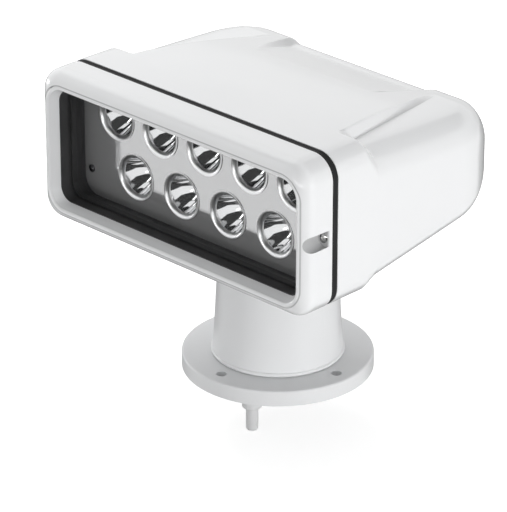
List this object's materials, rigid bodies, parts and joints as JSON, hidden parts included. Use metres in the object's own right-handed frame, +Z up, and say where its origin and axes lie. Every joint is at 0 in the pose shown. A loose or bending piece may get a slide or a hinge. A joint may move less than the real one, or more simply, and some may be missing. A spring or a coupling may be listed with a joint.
{
  "type": "marine searchlight",
  "caption": "Deck-mounted marine searchlight: wide white lamp head with a window over bright reflectors, tilting in a yoke on a turret that turns on a bolted round flange.",
  "frame": {"origin": "centre of the mounting flange's underside, on the pan axis", "axes": "+Z up along the pan axis, the beam leaves along -Y, the tilt axis lies along X"},
  "size_m": [0.335, 0.2744, 0.351],
  "materials": {
    "white_shell": "gloss white, weather-resistant",
    "white_casting": "gloss white powder coat on cast aluminium",
    "white_gland": "white moulded nylon",
    "black_rubber": "matt black moulded rubber",
    "window_glass": "clear toughened glass",
    "satin_plate": "satin bright-anodised sheet",
    "bright_reflector": "bright metallised reflector",
    "stainless": "plain stainless",
    "bronze": "machined bronze",
    "nylon": "natural nylon",
    "motor_case": "dark zinc-plated case",
    "black_plastic": "matt black moulding",
    "circuit_board": "green solder mask",
    "lamp_board": "white mask on aluminium",
    "emitter": "yellow phosphor under a clear dome",
    "bare_aluminium": "plain aluminium"
  },
  "bodies": {
    "base": {"base_flange": "white_casting", "cable_gland": "white_gland", "gland_locknut": "white_gland", "cable_spigot": "white_gland", "thrust_ring": "nylon", "turret_seal": "black_rubber", "pan_gear": "stainless", "pan_gear_screws": "stainless", "slip_ring_post": "nylon"},
    "turret": {"turret_column": "white_casting", "pan_bush": "bronze", "chassis_plate": "bare_aluminium", "chassis_screws": "stainless", "pan_gearmotor": "motor_case", "slip_ring_body": "black_plastic", "control_board": "circuit_board", "tilt_yoke": "white_casting", "yoke_screws": "stainless", "tilt_bracket": "bare_aluminium", "bracket_screws": "stainless", "tilt_gearmotor": "motor_case", "trunnion_bushes": "bronze"},
    "pan_pinion": {"pan_pinion": "bronze"},
    "tilt_pinion": {"tilt_pinion": "bronze"},
    "head": {"front_bezel": "white_shell", "bezel_gasket": "black_rubber", "bezel_screws": "stainless", "window_seal": "black_rubber", "window_glass": "window_glass", "reflector_plate": "satin_plate", "plate_screws": "stainless", "led_emitters": "emitter", "led_board": "lamp_board", "heat_sink": "bare_aluminium", "lamp_standoffs": "stainless", "led_driver": "black_plastic", "rear_shell": "white_shell", "tilt_saddle": "white_casting", "saddle_screws": "stainless", "tilt_sector": "bronze", "sector_screws": "stainless", "trunnion_pins": "stainless", "reflector_cup_1": "bright_reflector", "reflector_cup_2": "bright_reflector", "reflector_cup_3": "bright_reflector", "reflector_cup_4": "bright_reflector", "reflector_cup_5": "bright_reflector", "reflector_cup_6": "bright_reflector", "reflector_cup_7": "bright_reflector", "reflector_cup_8": "bright_reflector", "reflector_cup_9": "bright_reflector"}
  },
  "joints": [
    {"name": "pan", "type": "hinge", "parent": "base", "child": "turret", "pos_m": [0, 0, 0.015], "axis": [0, 0, 1], "continuous": true},
    {"name": "tilt", "type": "hinge", "parent": "turret", "child": "head", "pos_m": [0, 0, 0.142], "axis": [1, 0, 0], "range_deg": [-20, 20]},
    {"name": "pan_pinion_spin", "type": "hinge", "parent": "turret", "child": "pan_pinion", "pos_m": [0, 0.03615, 0.05], "axis": [0, 0, 1], "continuous": true},
    {"name": "tilt_pinion_spin", "type": "hinge", "parent": "turret", "child": "tilt_pinion", "pos_m": [0, 0, 0.08785], "axis": [1, 0, 0], "range_deg": [-110, 110]}
  ],
  "couplings": [
    {"joint": "pan_pinion_spin", "follows": "pan", "ratio": 3},
    {"joint": "tilt_pinion_spin", "follows": "tilt", "ratio": -5}
  ]
}
